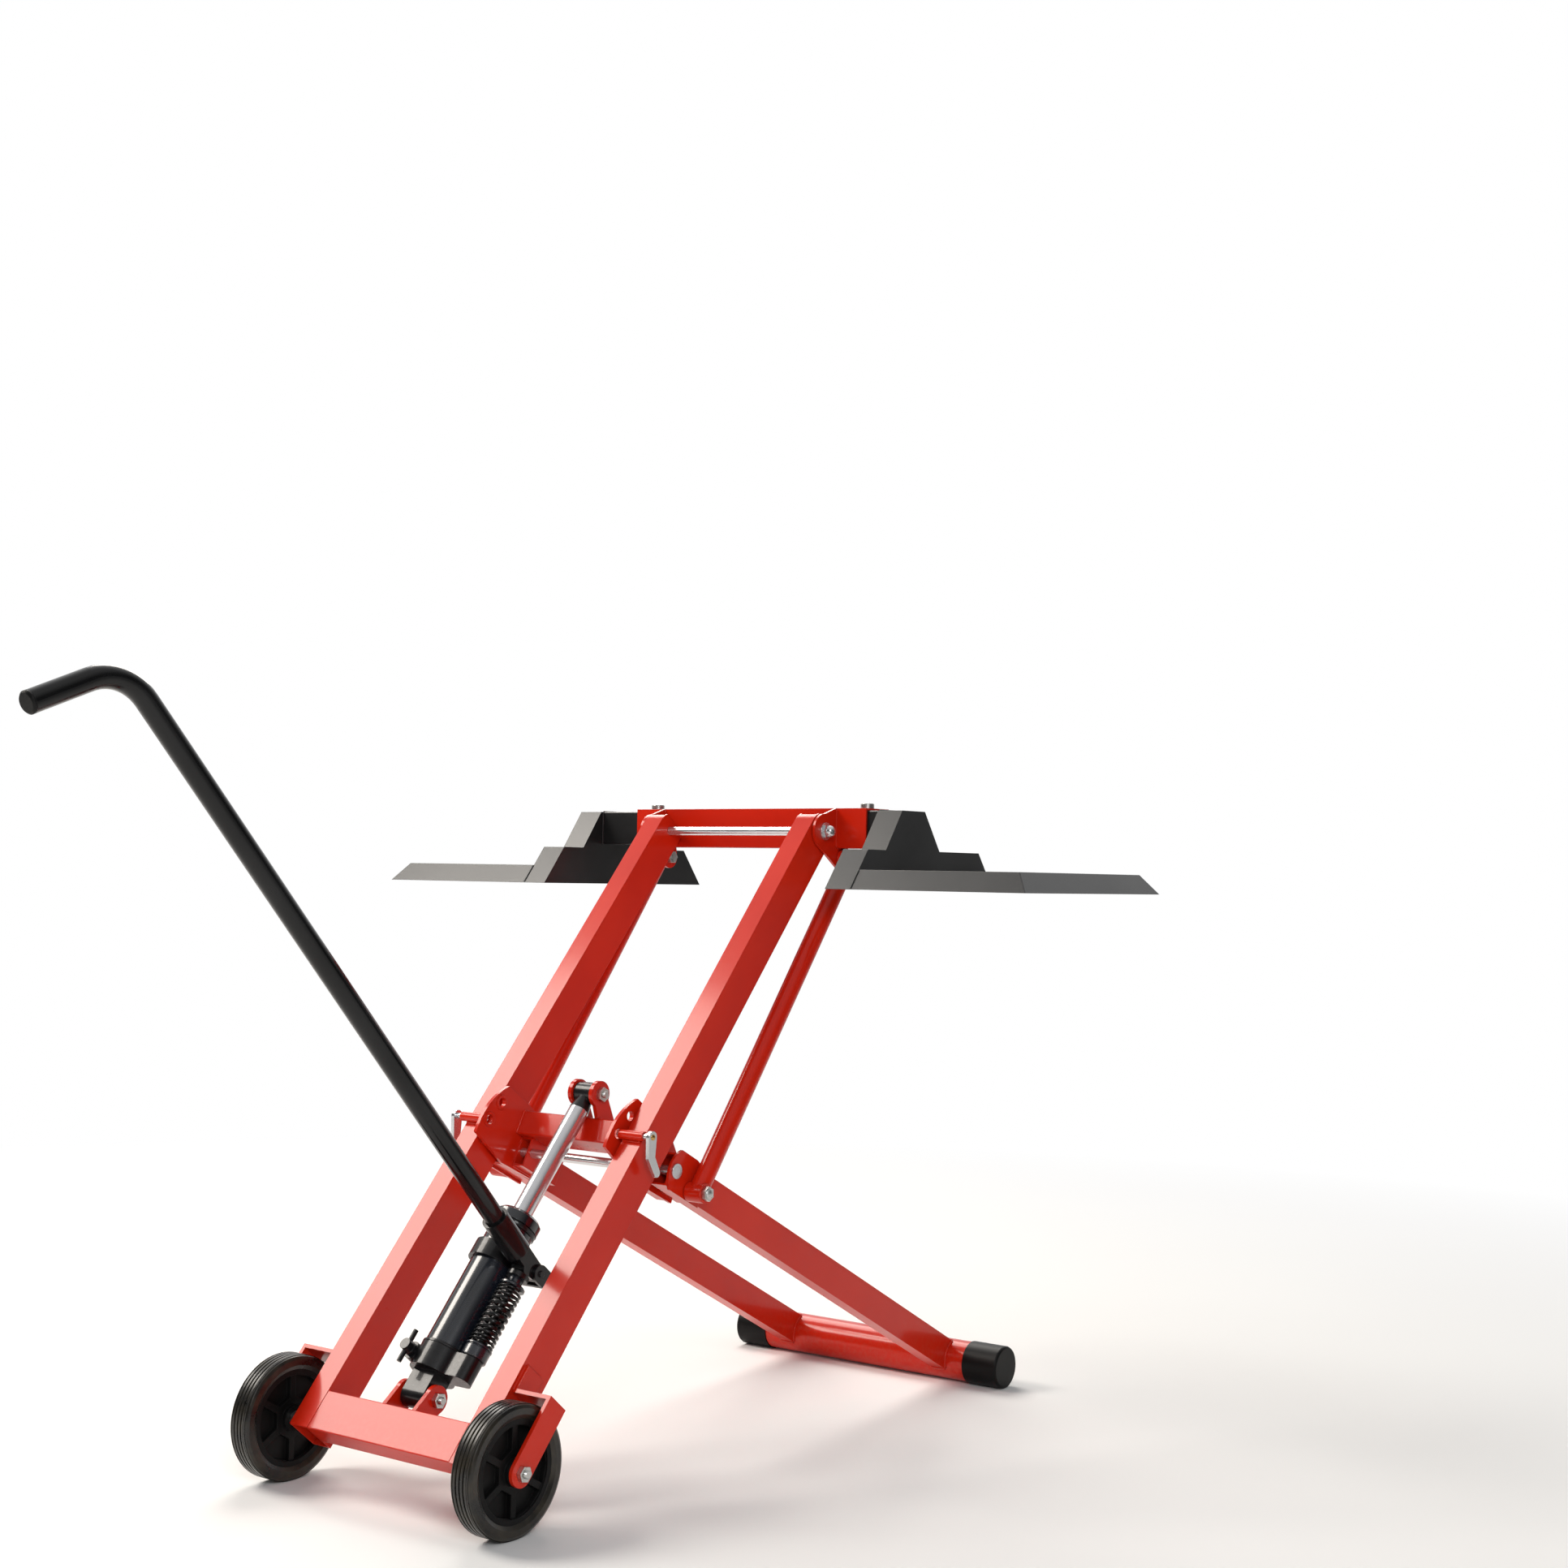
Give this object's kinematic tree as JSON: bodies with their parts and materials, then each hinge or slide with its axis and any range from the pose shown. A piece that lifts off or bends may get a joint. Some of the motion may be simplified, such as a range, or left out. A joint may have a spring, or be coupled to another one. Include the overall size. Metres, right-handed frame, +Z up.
{
  "type": "lawn mower lift",
  "caption": "Hydraulic scissor lift for a ride-on mower's front wheels: wheeled rails, crossing legs, bottle jack with pump handle and sliding wheel trays.",
  "frame": {"origin": "on the floor, under the middle of the raised lift's overall box", "axes": "+X to the right seen from the wheel end, +Y from the wheels to the foot, +Z up"},
  "size_m": [1.122, 1.5672, 0.9407],
  "materials": {
    "red_paint": "gloss",
    "black_paint": "satin",
    "chrome": "polished",
    "zinc": "zinc plated",
    "rubber": "matt",
    "black_plastic": "satin"
  },
  "bodies": {
    "frame": {"rail_left": "red_paint", "rail_right": "red_paint", "cross_member": "red_paint", "cylinder_ears": "red_paint", "frame_bolts": "zinc", "pivot_lugs": "red_paint", "pivot_shaft": "chrome", "lock_guides": "red_paint", "wheel_bracket_left": "red_paint", "wheel_bracket_right": "red_paint", "axle_spacers": "zinc"},
    "legs": {"leg_left": "red_paint", "leg_right": "red_paint", "foot_tube": "red_paint", "foot_caps": "black_plastic", "lock_plate_left": "red_paint", "lock_plate_right": "red_paint", "pivot_housings": "red_paint", "leg_spacers": "red_paint", "leg_cheeks": "red_paint", "crossbar": "red_paint", "ram_ears": "red_paint", "ram_bolt": "zinc", "link_bolts_lower": "zinc"},
    "links": {"link_left": "red_paint", "link_right": "red_paint"},
    "head": {"head_beam": "red_paint", "head_plates": "red_paint", "link_bolts_upper": "zinc", "top_shaft": "chrome", "clamp_bolts": "zinc"},
    "tray_right": {"tray_arm_right": "black_paint", "tray_bracket_right": "black_paint", "tray_front_bar_right": "black_paint", "tray_rear_bar_right": "black_paint", "tray_outer_bar_right": "black_paint"},
    "tray_left": {"tray_arm_left": "black_paint", "tray_bracket_left": "black_paint", "tray_front_bar_left": "black_paint", "tray_rear_bar_left": "black_paint", "tray_outer_bar_left": "black_paint"},
    "jack": {"jack_base": "black_paint", "reservoir_tube": "black_paint", "cylinder_head": "black_paint", "socket_bracket": "black_paint", "pump_barrel": "black_paint", "pump_spring": "black_paint"},
    "ram": {"ram_rod": "chrome", "ram_eye": "black_paint"},
    "piston": {"pump_piston": "chrome"},
    "pump_lever": {"handle_socket": "black_paint"},
    "handle_bar": {"handle": "black_paint", "handle_plug": "black_plastic"},
    "valve": {"release_valve": "black_paint"},
    "wheel_left": {"wheel_tyre_left": "rubber", "wheel_rim_left": "black_plastic"},
    "wheel_right": {"wheel_tyre_right": "rubber", "wheel_rim_right": "black_plastic"},
    "pin_left": {"lock_pin_left": "chrome"},
    "pin_right": {"lock_pin_right": "chrome"}
  },
  "joints": [
    {"name": "lift", "type": "hinge", "parent": "frame", "child": "legs", "pos_m": [0.033, 0.08862, 0.37184], "axis": [1, 0, 0], "range_deg": [0, 69.8]},
    {"name": "head_tilt", "type": "hinge", "parent": "frame", "child": "head", "pos_m": [0.033, 0.39298, 0.80351], "axis": [1, 0, 0], "range_deg": [0, 44.6]},
    {"name": "link_swing", "type": "hinge", "parent": "legs", "child": "links", "pos_m": [0.033, 0.11501, 0.344], "axis": [1, 0, 0], "range_deg": [-70.57, 0]},
    {"name": "jack_swing", "type": "hinge", "parent": "frame", "child": "jack", "pos_m": [0.033, -0.18904, 0.11965], "axis": [1, 0, 0], "range_deg": [0, 6.2]},
    {"name": "ram_swing", "type": "hinge", "parent": "legs", "child": "ram", "pos_m": [0.033, 0.09625, 0.45673], "axis": [1, 0, 0], "range_deg": [-63.6, 0]},
    {"name": "tray_right_slide", "type": "slide", "parent": "head", "child": "tray_right", "axis": [1, 0, 0], "range_m": [-0.015, 0.11]},
    {"name": "tray_left_slide", "type": "slide", "parent": "head", "child": "tray_left", "axis": [-1, 0, 0], "range_m": [-0.065, 0.06]},
    {"name": "pump_lever_swing", "type": "hinge", "parent": "jack", "child": "pump_lever", "pos_m": [0.0785, -0.05102, 0.25176], "axis": [1, 0, 0], "range_deg": [-8, 25]},
    {"name": "piston_slide", "type": "slide", "parent": "jack", "child": "piston", "axis": [0, 0.646, 0.7633], "range_m": [-0.008, 0.0027], "deforming": ["pump_spring"]},
    {"name": "handle_slide", "type": "slide", "parent": "pump_lever", "child": "handle_bar", "axis": [0, -0.6679, 0.7442], "range_m": [0, 0.12]},
    {"name": "valve_turn", "type": "hinge", "parent": "jack", "child": "valve", "pos_m": [0.009, -0.19332, 0.17961], "axis": [0, -0.7633, 0.646], "range_deg": [0, 90]},
    {"name": "wheel_left_spin", "type": "hinge", "parent": "frame", "child": "wheel_left", "pos_m": [0.033, -0.23227, 0.07503], "axis": [1, 0, 0], "continuous": true},
    {"name": "wheel_right_spin", "type": "hinge", "parent": "frame", "child": "wheel_right", "pos_m": [0.033, -0.23227, 0.07503], "axis": [1, 0, 0], "continuous": true},
    {"name": "pin_left_slide", "type": "slide", "parent": "frame", "child": "pin_left", "axis": [1, 0, 0], "range_m": [0, 0.008]},
    {"name": "pin_right_slide", "type": "slide", "parent": "frame", "child": "pin_right", "axis": [-1, 0, 0], "range_m": [0, 0.008]}
  ],
  "couplings": [
    {"joint": "head_tilt", "follows": "lift", "ratio": 0.63897},
    {"joint": "link_swing", "follows": "lift", "ratio": -1.011},
    {"joint": "jack_swing", "follows": "lift", "ratio": 0.088825},
    {"joint": "ram_swing", "follows": "lift", "ratio": -0.91117},
    {"joint": "piston_slide", "follows": "pump_lever_swing", "m_per_rad": -0.018}
  ]
}
